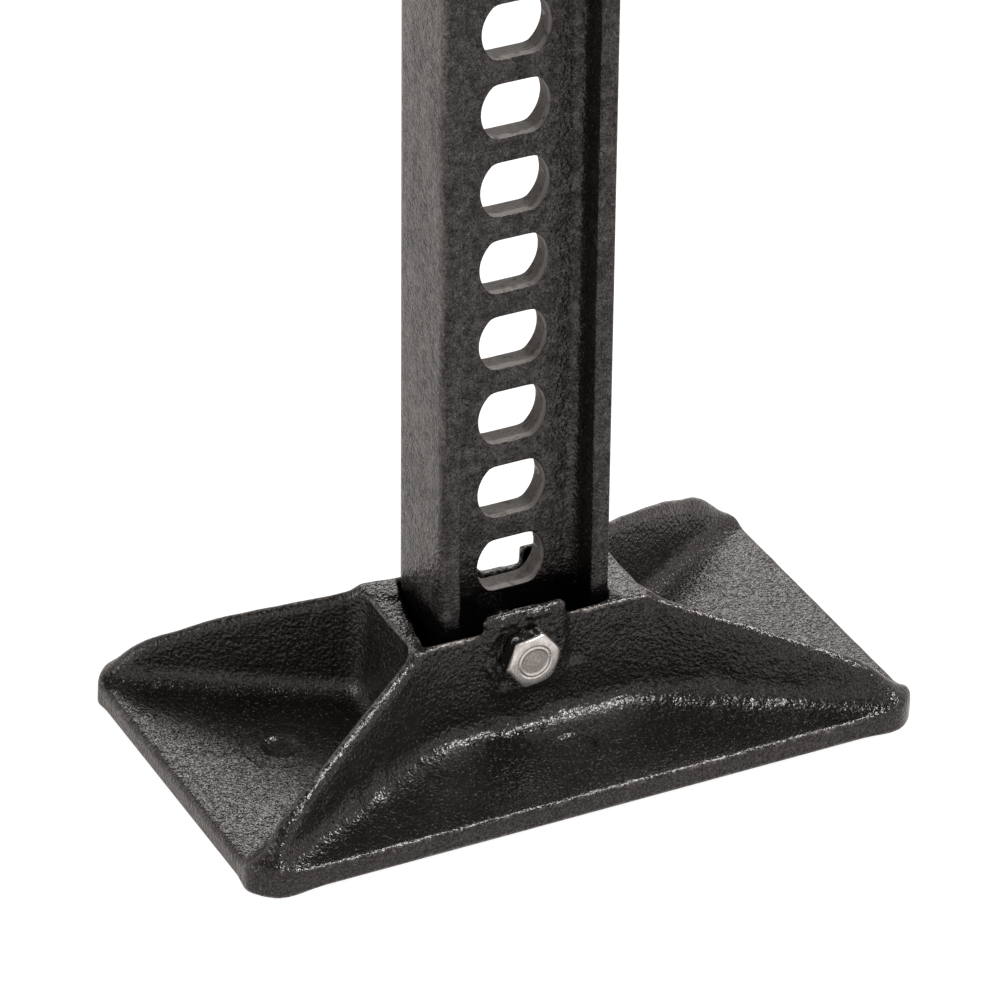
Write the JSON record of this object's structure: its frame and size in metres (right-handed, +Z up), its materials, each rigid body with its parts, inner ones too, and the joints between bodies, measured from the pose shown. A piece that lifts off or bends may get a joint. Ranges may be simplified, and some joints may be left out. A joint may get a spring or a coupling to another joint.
{
  "type": "farm jack",
  "caption": "Ratchet farm jack: ribbed cast foot, slotted I-section upright, climbing runners with spring-loaded pins, lifting toe, reversing latch and lever handle.",
  "frame": {"origin": "centre of the foot's underside, on the upright's axis, at ground level", "axes": "+Z up along the upright; +X along the foot's long side towards the handle, so the lifting toe points to -X; the climbing pins and the springs are on -Y and go in along +Y"},
  "size_m": [0.219, 0.1499, 1.079],
  "materials": {
    "black_cast_iron": "black powder coat over a rough sand-cast surface, satin, speckled highlights",
    "black_bar_steel": "satin black paint over rolled steel, fine orange-peel texture",
    "black_tube_steel": "satin black powder coat, smooth with light wear",
    "zinc_steel": "zinc plated, dull bright",
    "bare_pin_steel": "turned steel with an oil film",
    "spring_steel": "drawn spring wire",
    "grip_rubber": "matte black rubber"
  },
  "bodies": {
    "upright": {"base_casting": "black_cast_iron", "rack_bar": "black_bar_steel", "base_bolt": "zinc_steel", "top_clamp": "black_cast_iron", "top_clamp_bolt": "zinc_steel", "top_clamp_nut": "zinc_steel"},
    "large_runner": {"large_runner": "black_cast_iron", "handle_pivot_bolt": "zinc_steel", "handle_pivot_nut": "zinc_steel", "latch_pin": "zinc_steel", "upper_pin_spring": "spring_steel"},
    "upper_pin": {"upper_climbing_pin": "bare_pin_steel", "upper_cross_pin": "spring_steel"},
    "latch": {"reversing_latch": "black_cast_iron", "latch_spring": "spring_steel"},
    "small_runner": {"small_runner": "black_cast_iron", "pitman_lower_pin": "zinc_steel", "cotter_pin": "zinc_steel", "lower_pin_spring": "spring_steel"},
    "lower_pin": {"lower_climbing_pin": "bare_pin_steel", "lower_cross_pin": "spring_steel"},
    "handle": {"handle_socket": "black_cast_iron", "handle_tube": "black_tube_steel", "handle_grip": "grip_rubber", "socket_bolt": "zinc_steel", "socket_nut": "zinc_steel", "pitman_upper_pin": "zinc_steel", "handle_keeper": "spring_steel"},
    "pitman": {"pitman": "black_cast_iron"}
  },
  "joints": [
    {"name": "runner_slide", "type": "slide", "parent": "upright", "child": "large_runner", "axis": [0, 0, 1], "range_m": [-0.206, 0.3502]},
    {"name": "handle_swing", "type": "hinge", "parent": "large_runner", "child": "handle", "pos_m": [0.048, 0, 0.3945], "axis": [0, 1, 0], "range_deg": [0, 80]},
    {"name": "small_runner_slide", "type": "slide", "parent": "large_runner", "child": "small_runner", "axis": [0, 0, 1], "range_m": [-0.0207, 0.0001]},
    {"name": "pitman_turn", "type": "hinge", "parent": "handle", "child": "pitman", "pos_m": [0.06028, 0, 0.4048], "axis": [0, 1, 0], "range_deg": [-80.2, 0.2]},
    {"name": "upper_pin_slide", "type": "slide", "parent": "large_runner", "child": "upper_pin", "axis": [0, 1, 0], "range_m": [0, 0.012], "deforming": ["upper_pin_spring"]},
    {"name": "lower_pin_slide", "type": "slide", "parent": "small_runner", "child": "lower_pin", "axis": [0, 1, 0], "range_m": [0, 0.012], "deforming": ["lower_pin_spring"]},
    {"name": "latch_flip", "type": "hinge", "parent": "large_runner", "child": "latch", "pos_m": [0, -0.06, 0.4125], "axis": [1, 0, 0], "range_deg": [-25, 0]}
  ],
  "couplings": [
    {"joint": "small_runner_slide", "follows": "handle_swing", "m_per_rad": -0.014754},
    {"joint": "pitman_turn", "follows": "handle_swing", "ratio": -1}
  ]
}
